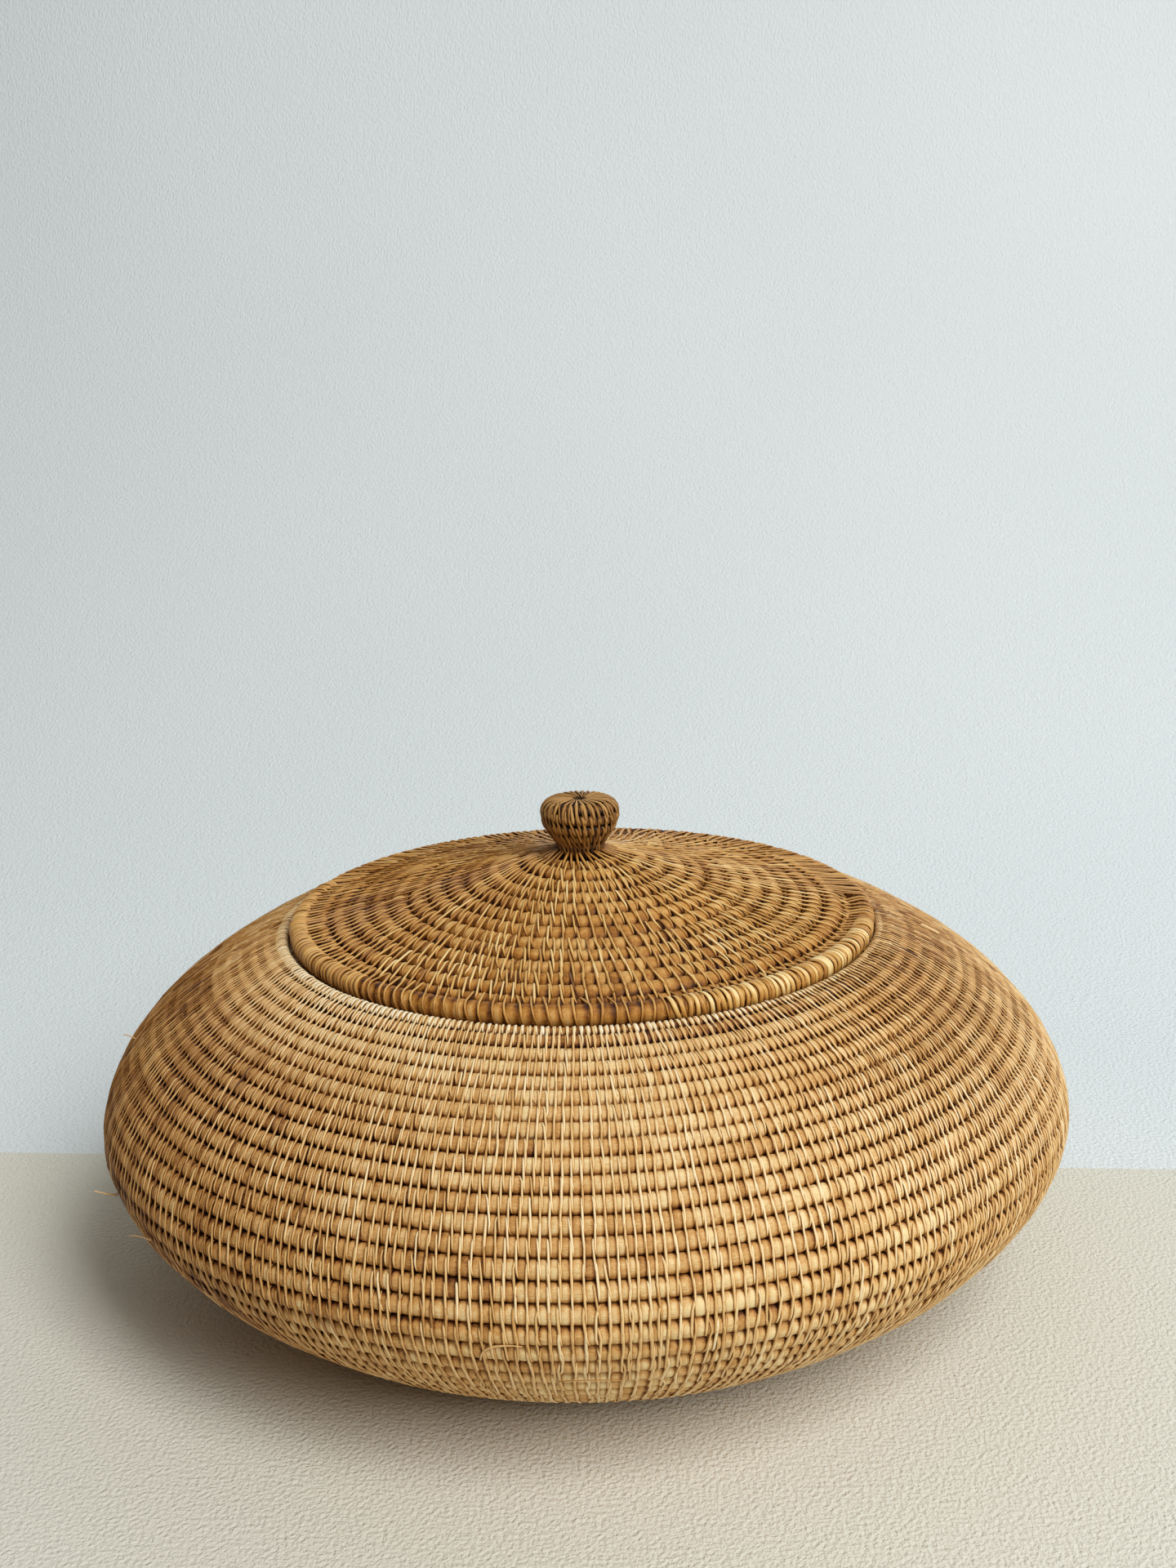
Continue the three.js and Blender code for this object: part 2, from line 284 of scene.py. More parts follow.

# Stations of a strip that binds two rows: row (0 the one it pierces, 1 the one it wraps),
# degrees from straight out, lift off the row, width share, tone share.
# Their tone shares fall towards a strip's ends, most where it sinks into a row: painted shade.
bindingPath = np.array([
    [0, 54, -0.5, 0.15, 0.8], [0, 44, -0.05, 0.7, 0.95], [0, 27, 0, 1, 1],
    [0, 5, 0, 1, 1], [1, -3, 0, 1, 0.98], [1, -20, -0.02, 0.92, 0.9],
    [1, -36, -0.04, 0.78, 0.78], [1, -52, -0.08, 0.6, 0.6], [1, -74, -0.35, 0.35, 0.4]])
lowBindingPath = np.array([
    [0, 92, -0.4, 0.5, 0.5], [0, 74, -0.05, 0.8, 0.75], [0, 50, 0, 1, 0.95], [0, 26, 0, 1, 1],
    [0, 4, 0, 1, 1], [1, -4, 0, 1, 1], [1, -24, -0.02, 0.95, 0.9],
    [1, -46, -0.05, 0.8, 0.7], [1, -72, -0.35, 0.5, 0.45]])
backPath = np.array([
    [0, 60, -0.3, 0.4, 0.8], [0, 30, 0, 1, 1], [0, 4, 0, 1, 1],
    [1, -4, 0, 1, 1], [1, -34, 0, 0.9, 0.9], [1, -72, -0.3, 0.4, 0.7]])
# This one is darker at the top as well: painted shadow under the lid's rim.
edgePath = np.array([
    [1, 128, -0.2, 0.7, 0.7], [1, 104, 0.02, 0.95, 0.9], [1, 78, 0.05, 1, 1], [1, 52, 0.05, 1, 1],
    [1, 26, 0.05, 1, 1], [1, 0, 0.03, 1, 1], [1, -24, 0, 0.95, 0.95],
    [1, -48, -0.04, 0.8, 0.8], [1, -74, -0.35, 0.5, 0.5]])


# How much strips differ, unless a piece says otherwise: reach and lean in degrees, the lift of the
# loose ones in mm, and tone.
stripHand = {"reachJitter": 7, "leanJitter": 2.2, "loose": 0.25, "toneJitter": 0.12}


def stripRings(head, tail, azimuth, path, section, look, seed, inside=False):
    source = randomFrom(seed)
    look = dict(stripHand, **look)
    count = len(azimuth)
    gapR, gapZ = head["r"] - tail["r"], head["z"] - tail["z"]
    gap = np.hypot(gapR, gapZ)
    upR, upZ = (gapR / gap)[:, None], (gapZ / gap)[:, None]
    facing = -1 if inside else 1
    outR, outZ = facing * upZ, -facing * upR
    onTail, degrees, lift, share, shade = path.T[:, None]
    angle = np.radians(degrees) + np.radians(look["reachJitter"]) * np.sign(
        degrees) * source.uniform(-1, 1, (count, 1)) * (np.abs(degrees) > 40)
    centreR, centreZ, thick, snug = (head[key][:, None] * (1 - onTail) + tail[key][:, None] * onTail
                                     for key in ("r", "z", "thick", "snug"))
    normalR = np.cos(angle) * outR + np.sin(angle) * upR
    normalZ = np.cos(angle) * outZ + np.sin(angle) * upZ
    raised = np.maximum(0, source.normal(0, 1, (count, 1)) - 1.3) * look["loose"]
    lift = lift + raised * (lift > 0)
    out, up = pillow(angle, np.reshape(tail.get("low", 0), (-1, 1)))
    pathR = centreR + thick * out * outR + snug * up * upR + lift * normalR
    pathZ = centreZ + thick * out * outZ + snug * up * upZ + lift * normalZ
    lengths = np.hypot(np.diff(pathR, axis=1), np.diff(pathZ, axis=1))
    along = np.concatenate([np.zeros((count, 1)), np.cumsum(lengths, 1)], 1)
    along -= along[:, -1:] / 2
    lean, width, own = (np.broadcast_to(look[key], count)[:, None] for key in ("lean", "width", "tone"))
    lean = np.tan(np.radians(lean + source.normal(0, look["leanJitter"], (count, 1))))
    bow = source.normal(0, 0.012, (count, 1)) * (along ** 2 - (along[:, -1:] / 2) ** 2 * 2)
    lateral = along * lean + bow
    width = width * source.uniform(0.82, 1.15, (count, 1)) * share
    across = section[:, 0] * width[:, :, None]
    tilt = source.normal(0, 0.14, (count, 1, 1))
    height = section[:, 1] * look["thick"] + tilt * across
    radius = pathR[:, :, None] + normalR[:, :, None] * height
    level = pathZ[:, :, None] + normalZ[:, :, None] * height
    turned = azimuth[:, None, None] + (lateral[:, :, None] + across) / np.maximum(radius, 1.5)
    own = own[:, None] + source.normal(0, look["toneJitter"], (count, 1, 1))
    tone = own * section[:, 2] * shade[:, :, None]
    fibre = stacked(along[:, :, None], across, source.uniform(0, grainSpread, (count, 1, 1)))
    return placed(radius, level, turned), tone, fibre


# Gaps between strips, as shares of the spacing: the widest and the narrowest there are. Then shares
# of the gap: how far a strip is evened out, and how far it is misplaced from row to row and alone.
planting = {"widest": 1.42, "narrowest": 0.55, "evened": 0.2, "misplaced": 0.02, "alone": 0.045}


def plantStrips(coil, spacingAt, columnLean, seed):
    # Each strip stands under one of the turn before. Where two have spread far apart there is one
    # more between them, and where two have come close one is left out.
    source = randomFrom(seed)
    row = rowAt(coil, np.array([0.5]))
    count = max(6, int(round(math.tau * row["r"][0] / spacingAt(row["r"], row["run"])[0])))
    turn = (np.arange(count) + source.uniform(-0.1, 0.1, count)) / count
    turns, gaps = [], []
    while turn[0] < coil["turns"]:
        row = rowAt(coil, turn)
        around = math.tau * row["r"]
        target = spacingAt(row["r"], row["run"])
        gap = np.append(turn[1:], turn[0] + 1) - turn
        wide = gap * around > planting["widest"] * target
        turn = np.sort(np.concatenate([turn, turn[wide] + gap[wide] / 2]))
        gap = np.append(turn[1:], turn[0] + 1) - turn
        turns.append(turn)
        gaps.append(gap)
        row = rowAt(coil, turn)
        around = math.tau * row["r"]
        close = gap * around < planting["narrowest"] * spacingAt(row["r"], row["run"])
        close[1:] &= ~close[:-1]
        turn = turn[~close]
        row = rowAt(coil, turn)
        pitch = 2 * row["snug"]
        turn = turn + 1 + math.tan(math.radians(columnLean)) * pitch / (math.tau * row["r"])
        before, after = np.append(turn[-1] - 1, turn[:-1]), np.append(turn[1:], turn[0] + 1)
        turn = turn + planting["evened"] * ((before + after) / 2 - turn)
        turn = turn + source.normal(0, planting["misplaced"], len(turn)) * (after - turn)
    turn = np.concatenate(turns)
    order = np.argsort(turn)
    turn = turn[order]
    gap = np.diff(np.append(turn, turn[-1] + gaps[-1][-1]))
    kept = turn < coil["turns"]
    turn, gap = turn[kept], gap[kept]
    shown = turn + source.normal(0, planting["alone"], len(turn)) * gap
    return {"turn": turn, "gap": gap, "shown": np.clip(shown, 0, coil["turns"])}


def take(row, chosen):
    return {key: value[chosen] for key, value in row.items()}


def stripTones(count, middle, wander, seed):
    source = randomFrom(seed)
    return middle + wander * drift(np.arange(count), 14, seed + 1) + source.normal(0, 0.05, count)


def turnedPiece(name, profile, tone, grain, material, body, slot):  # round about the axis
    around = evenly(turnedSides)[None]
    fibre = stacked(around * 6, profile[:, :1] * 2, grain)[None]
    return makePiece(name, placed(profile[:, :1], profile[:, 1:], around)[None], tone, fibre,
                     material, body, slot)


# Materials.

def startMaterial(name):
    material = bpy.data.materials.new(name)
    material.use_nodes = True
    material.node_tree.nodes.clear()
    return material, material.node_tree


def finishMaterial(tree, look, stops, value, height):
    stops = [(place, linear(colour)) for place, colour in stops]
    ramp = addNode(tree, "ValToRGB", {"stops": stops}, {"Fac": value})
    bump = addNode(tree, "Bump", {"Strength": look["bump"], "Distance": look["depth"] * mm},
                   {"Height": height})
    shader = addNode(tree, "BsdfPrincipled",
                     {"Roughness": look["roughness"], "Specular IOR Level": look["shine"]},
                     {"Base Color": ramp.outputs["Color"], "Normal": bump.outputs["Normal"]})
    addNode(tree, "OutputMaterial", {}, {"Surface": shader.outputs["BSDF"]})


# Rattan core, the round inside of the vine with its bark peeled off. It is matt and a little
# furry, with fine pores drawn out along it, and it darkens unevenly with age. Each grain has its
# number per mm along and across the fibres, and the last one is felt as well as seen.
core = {
    "grains": [{"perMm": (0.3, 0.3, 1), "noise": {"Detail": 2, "Roughness": 0.5}, "amount": 0.75},
               {"perMm": (1.1, 1.9, 1), "noise": {"Detail": 3, "Roughness": 0.65}, "amount": 0.6}],
    "places": (0, 0.22, 0.45, 0.68, 1), "bump": 0.5, "depth": 0.2, "shine": 0.3,
}
# Rattan peel, split into strips and shaved: a smooth hard skin with a soft shine, pale along the
# middle and brown at its cut edges, with fibres along it.
peel = {
    "grains": [{"perMm": (0.35, 4, 1), "noise": {"Detail": 2, "Roughness": 0.6}, "amount": 0.4}],
    "places": (0, 0.25, 0.5, 0.75, 1), "bump": 0.25, "depth": 0.1, "shine": 0.45,
}


def rattanMaterial(name, kind, roughness, colours):
    material, tree = startMaterial(name)
    value = addNode(tree, "Attribute", {"attribute_name": "tone"}).outputs["Fac"]
    fibre = addNode(tree, "Attribute", {"attribute_name": "fibre"}).outputs["Vector"]
    for grain in kind["grains"]:
        place = addNode(tree, "VectorMath", {"operation": "MULTIPLY", 1: grain["perMm"]}, {0: fibre})
        noise = addNode(tree, "TexNoise", dict(grain["noise"], Scale=1), {"Vector": place.outputs[0]})
        noise, amount = noise.outputs["Fac"], grain["amount"]
        share = addNode(tree, "Math", {"operation": "MULTIPLY_ADD", 1: amount, 2: -amount / 2}, {0: noise})
        total = addNode(tree, "Math", {"operation": "ADD"}, {0: value, 1: share.outputs[0]})
        value = total.outputs[0]
    finishMaterial(tree, dict(kind, roughness=roughness), zip(kind["places"], colours), value, noise)
    return material


strawCane = rattanMaterial("rattan core, peeled, straw", core, 0.65,
                           ["#331404", "#7a461a", "#b98242", "#dcaa66", "#f8dfa6"])
strawStrip = rattanMaterial("rattan peel, split, straw", peel, 0.45,
                            ["#4a2208", "#955f26", "#d3a05a", "#efc888", "#fde8ba"])
paleCane = rattanMaterial("rattan core, peeled, pale", core, 0.65,
                          ["#331606", "#7a4a1e", "#b9884a", "#dcae70", "#f8e2b0"])
paleStrip = rattanMaterial("rattan peel, split, pale", peel, 0.45,
                           ["#52300f", "#9c7038", "#dcb276", "#f4dba6", "#fff4d4"])
honeyCane = rattanMaterial("rattan core, peeled, honey", core, 0.62,
                           ["#3c1b06", "#6b3d10", "#a26722", "#c68d42", "#e8bd76"])
honeyStrip = rattanMaterial("rattan peel, split, honey", peel, 0.42,
                            ["#421c05", "#89541c", "#c58b40", "#e7b968", "#fde2a4"])
duskyCane = rattanMaterial("rattan core, handled, dusky", core, 0.65,
                           ["#1c0b03", "#3d220a", "#694014", "#8f6126", "#b88a44"])
duskyStrip = rattanMaterial("rattan peel, handled, dusky", peel, 0.6,
                            ["#241003", "#53300c", "#93652a", "#bf8f4b", "#e2ba78"])
print("materials made")

# Pot.

pot = {
    "bellyRadius": 230, "baseRadius": 150, "footBend": 16, "underbellyDepth": 113,
    "underbellyFullness": 1.68, "shoulderRise": 106.8, "shoulderFullness": 1.8,
    "mouthRadius": 135, "mouthDip": 32, "mouthLap": 1.8, "eyeRadius": 8,
    "baseCane": 8.9, "bellyCane": 7.2, "shoulderCane": 6.1, "mouthCane": 6.8, "seatGap": 0.3,
    "stripWidth": 1.1, "stripThick": 0.42, "baseSpacing": 3.5, "bellySpacing": 3.6, "mouthSpacing": 3.3,
}
reach = pot["bellyRadius"] - pot["bellyCane"] / 2


def bellyRise(rise, fullness, radius):
    return rise * (1 - (radius / reach) ** fullness) ** (1 / fullness)


def bellyCurve(rise, fullness, fromRadius, toRadius):
    ends = [math.acos(min(1, radius / reach) ** (fullness / 2)) for radius in (fromRadius, toRadius)]
    angle = np.linspace(ends[0], ends[1], 300)
    return np.stack([reach * np.cos(angle) ** (2 / fullness),
                     bellyLevel + rise * np.sin(angle) ** (2 / fullness)], 1)


baseLevel = pot["baseCane"] / 2
bellyLevel = baseLevel + bellyRise(pot["underbellyDepth"], pot["underbellyFullness"], pot["baseRadius"])
nestDistance = (pot["shoulderCane"] + pot["mouthCane"]) / 2 + pot["seatGap"]
dip = math.radians(pot["mouthDip"])
lastRowRadius = pot["mouthRadius"] + pot["mouthCane"] / 2 + nestDistance * math.cos(dip)
lastRowLevel = bellyLevel + bellyRise(pot["shoulderRise"], pot["shoulderFullness"], lastRowRadius)
wallEndRadius = lastRowRadius - pot["shoulderCane"] / 2 - pot["mouthLap"]
lower = bellyCurve(-pot["underbellyDepth"], pot["underbellyFullness"],
                   pot["baseRadius"] + pot["footBend"], pot["bellyRadius"])
upper = bellyCurve(pot["shoulderRise"], pot["shoulderFullness"], pot["bellyRadius"], wallEndRadius)
bendStart = np.array([pot["baseRadius"] - pot["footBend"], baseLevel])
bendCorner = np.array([pot["baseRadius"], baseLevel])
share = np.linspace(0, 1, 60)[:, None]
bend = (1 - share) ** 2 * bendStart + 2 * share * (1 - share) * bendCorner + share ** 2 * lower[0]
floorRun = np.stack([np.linspace(0, bendStart[0], 100), np.full(100, baseLevel)], 1)
potOutline = outlineThrough(np.concatenate([floorRun, bend[1:], lower[1:], upper[1:]]))
baseEnd = potOutline["run"][len(floorRun) + len(bend) - 2]
bellyEnd = potOutline["run"][len(floorRun) + len(bend) + len(lower) - 3]
mouthEnd = potOutline["run"][-1]


def potCane(run):
    return np.interp(run, [0, baseEnd, bellyEnd, mouthEnd],
                     [pot["baseCane"], pot["baseCane"], pot["bellyCane"], pot["shoulderCane"]])


def potSpacing(radius, run):
    return np.interp(run, [baseEnd, bellyEnd, mouthEnd],
                     [pot["baseSpacing"], pot["bellySpacing"], pot["mouthSpacing"]])


def nearMouth(run, reach, edge):  # 1 within a reach of the mouth, 0 below
    return np.clip((run - mouthEnd + reach) / edge + 1, 0, 1)


def potLean(run, azimuth):  # going down: to the right on the left side, to the left on the right side
    lean = np.maximum(-16 + 26 * np.cos(azimuth - math.radians(226)), -15)
    return lean + 18 * nearMouth(run, 30, 25) * sector(azimuth, 350, 90, 40) - 3 * (run < bellyEnd)


# The darker tones at the back and left, away from the window, and on the right near the mouth are painted
# shade.
def potShade(run, azimuth):  # painted shade and browner cane at the back and left, paler right of the front
    above, near = nearMouth(run, 45, 40), nearMouth(run, 30, 20)
    return (-0.26 * sector(azimuth, 165, 60, 50) - 0.12 * (1 - near) * sector(azimuth, 205, 60, 30)
            + 0.12 * near * sector(azimuth, 207, 46, 26) - 0.19 * above * sector(azimuth, 10, 100, 60)
            + 0.05 * sector(azimuth, 300, 40, 25) - 0.05 * sector(azimuth, 345, 40, 20))


def potTone(run, azimuth):  # painted shadow of the lid's rim on the cane in the slots of the last row in front
    slots = nearMouth(run, 9, 5) * sector(azimuth, 265, 130, 40)
    return -0.55 * slots - 0.05 * (run < bellyEnd) + potShade(run, azimuth)


# A coil's side says where its outside is, 1 to the right of its outline as it runs and -1 to the
# left. It is shrunk in the base, to leave room for strips, and low where rows are flat and tight.
potCoil = wind(potOutline, pot["eyeRadius"] + rowGap, potCane, 11, {
    "side": 1, "uneven": 1, "tone": 0.69, "cleftShade": 0.35, "toneAt": potTone,
    "shrinkAt": lambda run: np.interp(run, [baseEnd - 30, baseEnd + 10], [0.45, 0.0]),
    "lowAt": lambda run: np.clip((bellyEnd - 4 - run) / 24, 0, 1)})
potLengths = lengthsAlong(potCoil, [("base_coil", 2, baseEnd), ("lower_wall_coil", 3, bellyEnd),
                                    ("shoulder_coil", 4, mouthEnd)])
print("pot", round(potCoil["turns"], 1), "turns,", round(potCoil["woundGrid"][-1] * mm, 1), "m of cane")

potStrips = plantStrips(potCoil, potSpacing, 0, 21)
turn = potStrips["shown"]
tail, head = rowAt(potCoil, turn), rowAt(potCoil, turn + 1)
azimuth = math.tau * turn
lastRows = nearMouth(tail["run"], 4, 5)
palePatch = sector(azimuth, 222, 26, 10) * nearMouth(tail["run"], 16, 8)
own = stripTones(len(turn), 0.87, 0.09, 22) + 0.24 * lastRows * sector(azimuth, 255, 110, 40)
# The strips take the pot's painted shade too, more strongly.
own = own + 0.1 * palePatch + 1.2 * potShade(tail["run"], azimuth)
widths = pot["stripWidth"] * (1 + 0.35 * lastRows)
for name, first, last in potLengths:
    slot = "pale_cane" if name == "shoulder_coil_4" else "straw_cane"
    piece = makePiece(name + "_cane", *caneRings(potCoil, potStrips, first, last), strawCane, "pot", slot)
    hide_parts(name)
    here = (turn >= first) & (turn < last)
    within = here & (turn + 1 <= potCoil["turns"])
    over = here & ~within
    rows = take(head, within), take(tail, within)
    isLow = name.startswith(("base", "lower"))
    look = {"lean": potLean(tail["run"][within], azimuth[within]), "thick": pot["stripThick"],
            "width": widths[within] * (1.15 if isLow else 1), "tone": own[within] - (0.12 if isLow else 0)}
    strips = stripRings(*rows, azimuth[within], lowBindingPath if isLow else bindingPath, stripSection,
                        look, 31)
    makePiece(name + "_binding", *strips, strawStrip, "pot", slot)
    look = dict(look, lean=-24, width=pot["stripWidth"], tone=0.45)
    between = azimuth[within] + math.pi * potStrips["gap"][within]
    strips = stripRings(*rows, between, backPath, flatSection, look, 32, inside=True)
    makePiece(name + "_back_binding", *strips, strawStrip, "pot", slot)
    if over.any():
        row = take(tail, over)
        above = dict(row, r=row["r"] + row["upR"], z=row["z"] + row["upZ"])
        look = {"lean": 6, "width": widths[over] * 1.1, "thick": 0.5, "tone": own[over] - 0.15}
        strips = stripRings(above, row, azimuth[over], edgePath, stripSection, look, 33)
        makePiece(name + "_edge_binding", *strips, paleStrip, "pot", slot)
print("pot wound and bound,", len(turn), "strips")

stripRoom = 0.35  # a hoop's cane is thinner by this, for the strips round it
mouthHoop = {"r": pot["mouthRadius"] + pot["mouthCane"] / 2,
             "z": lastRowLevel - nestDistance * math.sin(dip), "thick": pot["mouthCane"] / 2}


def hoopPiece(name, hoop, seed, material, body, slot, angles=evenly(75), tone=0.56):
    # Closed, and pressed in at the angles like a cane at its strips.
    source = randomFrom(seed)
    count = len(angles)
    gap = np.append(angles[1:], angles[0] + math.tau) - angles
    azimuth = (angles[:, None] + gap[:, None] * pressing[None, :, 0]).ravel()
    corner = evenly(caneSides)
    thick = (hoop["thick"] - stripRoom) * np.tile(pressing[:, 1], count)[:, None]
    out, up = pillow(corner)
    rings = placed(hoop["r"] + thick * out, hoop["z"] + thick * up, azimuth[:, None])
    # Painted shade beside the strips, as on a cane, and towards the hoop's top and bottom.
    tone = tone + np.repeat(source.normal(0, 0.1, count), len(pressing)) + np.tile(pressing[:, 2], count)
    tone = (tone + 0.1 * np.sin(azimuth * 5 + seed))[:, None] - 0.3 * np.abs(up) ** 5
    fibre = stacked(azimuth[:, None] * hoop["r"], corner * grainRadius, seed)
    return makePiece(name, rings[None], tone[None], fibre[None], material, body, slot, closed=True)


def hoopRow(hoop, count):  # a hoop as a row for strips to go round
    thick = hoop["thick"] - stripRoom
    row = {"r": hoop["r"], "z": hoop["z"], "thick": thick, "snug": thick}
    return {key: np.full(count, value) for key, value in row.items()}


def wrapPiece(name, hoop, count, look, seed, material, body, slot):  # strips wound right round a hoop
    ring = hoopRow(hoop, count)
    path = np.array([[1, a, 0, 1, 1] for a in np.linspace(178, -178, 13)])
    strips = stripRings(dict(ring, z=ring["z"] + 1), ring, evenly(count, 0.5), path, stripSection,
                        dict(look, reachJitter=0), seed)
    makePiece(name, *strips, material, body, slot)


piece = hoopPiece("mouth_hoop_cane", mouthHoop, 71, paleCane, "pot", "pale_cane")
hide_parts("mouth_hoop")
# Its strips are darkened: painted shadow under the lid's rim.
wrapPiece("mouth_hoop_binding", mouthHoop, 300, {"lean": 14, "width": 2.4, "thick": 0.4, "tone": 0.45}, 72,
          paleStrip, "pot", "pale_cane")

# Start of the base: a knot of cane, round and slightly domed.
profile = np.array([[0.01, 0.35], [3, 0.4], [5.6, 0.6], [7.4, 2.4], [7.9, 4.45], [7.4, 6.6], [5.6, 8.3],
                    [3, 8.6], [0.01, 8.7]])
tone = 0.45 + 0.15 * np.cos(evenly(turnedSides) * 9 + profile[:, :1])
piece = turnedPiece("base_eye_cane", profile, tone, 5, strawCane, "pot", "straw_cane")
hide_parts("base_eye")

# Lid.

lid = {
    "rimRadius": 139.5, "rise": 30.5, "sweep": 1.4, "clearance": 2.2, "neckRadius": 11,
    "cane": 9, "rimCane": 9.2, "locatingCane": 6.4, "stripWidth": 1.3, "stripThick": 0.5, "spacing": 4.9,
}
rimHoop = {"r": lid["rimRadius"] - lid["rimCane"] / 2,
           "z": mouthHoop["z"] + (pot["mouthCane"] + lid["rimCane"]) / 2 + pot["seatGap"],
           "thick": lid["rimCane"] / 2}


def lidLevel(radius):
    return rimHoop["z"] + lid["rise"] * (1 - radius / rimHoop["r"]) ** lid["sweep"]


def lidLean(azimuth):
    return 7 - np.clip(28 * np.cos(azimuth), -12, 12)


radius = np.linspace(lid["neckRadius"] + pot["seatGap"], rimHoop["r"] - lid["rimCane"] / 2, 200)
lidOutline = outlineThrough(np.stack([radius, lidLevel(radius)], 1))


def lidTone(run, azimuth):  # browner at the left, partly painted shade; dark in the slots along the back of the rim
    outer = np.clip((run - lidOutline["run"][-1] + 12) / 4, 0, 1)
    return -0.14 * sector(azimuth, 150, 70, 50) - 0.4 * outer * sector(azimuth, 85, 110, 20)


def lidSpacing(radius, run):
    return np.interp(radius, [15, 30, 60], [2.6, 3.5, lid["spacing"]])


lidCoil = wind(lidOutline, 0, lambda run: lid["cane"] + 0 * run, 41, {
    "side": -1, "uneven": 1, "tone": 0.6, "cleftShade": 0.36, "toneAt": lidTone,
    "shrinkAt": lambda run: 0 * run, "lowAt": lambda run: 0 * run})
lidLengths = lengthsAlong(lidCoil, [("lid_coil", 3, math.inf)])
lidStrips = plantStrips(lidCoil, lidSpacing, 4, 51)
honeyCore, honeyPeel = (honeyCane, "lid", "honey_cane"), (honeyStrip, "lid", "honey_cane")
turn = lidStrips["shown"]
within = turn + 1 <= lidCoil["turns"]
turn, gap = turn[within], lidStrips["gap"][within]
head, tail = rowAt(lidCoil, turn), rowAt(lidCoil, turn + 1)
azimuth = math.tau * turn
# The lid's strips are darker at the left too, partly painted shade.
own = stripTones(len(turn), 0.8, 0.08, 52) - 0.2 * sector(azimuth, 150, 70, 50)
for name, first, last in lidLengths:
    piece = makePiece(name + "_cane", *caneRings(lidCoil, lidStrips, first, last), *honeyCore)
    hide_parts(name)
    here = (turn >= first) & (turn < last)
    rows = take(head, here), take(tail, here)
    look = {"lean": lidLean(azimuth[here]), "width": lid["stripWidth"], "thick": lid["stripThick"],
            "tone": own[here], "loose": 0.15}
    strips = stripRings(*rows, azimuth[here], bindingPath, stripSection, look, 54)
    makePiece(name + "_binding", *strips, *honeyPeel)
    look = dict(look, lean=-20, tone=0.5)
    between = azimuth[here] + math.pi * gap[here]
    strips = stripRings(*rows, between, backPath, flatSection, look, 55, inside=True)
    makePiece(name + "_back_binding", *strips, *honeyPeel)
print("lid", round(lidCoil["turns"], 1), "turns,", len(turn), "strips")

# Rim of the lid. Strips from the last row go over the hoop and round it. On the right and on the
# left wider ones lie over them, side by side round the hoop alone, and some on the right are paler.
# The low tone shares inside and under the hoop are painted shade.
catchPath = np.array([
    [0, 44, -0.5, 0.3, 0.7], [0, 32, -0.05, 0.8, 0.9], [0, 16, 0, 1, 1], [0, 2, 0, 1, 1],
    [1, 14, 0, 1, 1], [1, -8, 0, 1, 1], [1, -32, 0, 1, 1], [1, -58, 0, 1, 0.95],
    [1, -86, 0, 1, 0.85], [1, -112, 0, 1, 0.75], [1, -136, 0, 1, 0.7], [1, -160, -0.3, 0.8, 0.6]])
ringPath = np.array([
    [1, 84, -0.3, 0.6, 0.45], [1, 66, 0.1, 0.85, 0.7], [1, 48, 0.3, 1, 0.9], [1, 26, 0.35, 1, 1],
    [1, 2, 0.35, 1, 1], [1, -22, 0.35, 1, 1], [1, -48, 0.3, 1, 1], [1, -74, 0.3, 1, 0.9],
    [1, -98, 0.25, 1, 0.75], [1, -124, 0.1, 1, 0.65], [1, -150, -0.3, 0.8, 0.6]])
half = np.arange(0, 10.1, 0.5)  # half steps, so that the wide strips bend roundly
ringPath = np.stack([np.interp(half, np.arange(11), ringPath[:, i]) for i in range(5)], 1)
source = randomFrom(62)
rimStrips = {"catch": [], "ring": []}  # azimuth, width and tone of each
for kind in rimStrips:
    place = 0.0
    while place < math.tau:
        front, right, left = (sector(place, *where) for where in (
            (264, 44, 12), (315, 50, 10), (195, 50, 14)))
        if kind == "catch":
            spacing = 4.4 + front + source.normal(0, 0.3)
            strip = (place, 1.7 - 0.45 * front, 0.66)
        else:
            spacing = 3.0 + source.normal(0, 0.2)
            strip = (place, 2.65, 0.7 + (0.36 * right if source.random() < 0.45 else 0.0))
        if kind == "catch" or max(right, left) > 0.5:
            rimStrips[kind].append(strip)
        place += spacing / lid["rimRadius"]
piece = hoopPiece("lid_rim_hoop_cane", rimHoop, 61, *honeyCore, np.array(rimStrips["catch"])[:, 0], 0.66)
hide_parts("lid_rim_hoop")
for kind, path, seed in (("catch", catchPath, 63), ("ring", ringPath, 64)):
    angles, widths, tones = np.array(rimStrips[kind]).T
    # They start from the last turn of the lid, or from the one before it where that is pared.
    lastTurn = math.floor(lidCoil["turns"]) + angles / math.tau
    lastTurn = np.where(lastTurn > lidCoil["turns"] - 0.42, lastTurn - 1, lastTurn)
    look = {"lean": lidLean(angles) if kind == "catch" else 8, "width": widths, "thick": 0.5, "tone": tones,
            "toneJitter": 0.06, "leanJitter": 3}
    strips = stripRings(rowAt(lidCoil, lastTurn), hoopRow(rimHoop, len(angles)), angles, path, stripSection,
                        look, seed)
    makePiece("lid_rim_" + kind + "_binding", *strips, *honeyPeel)

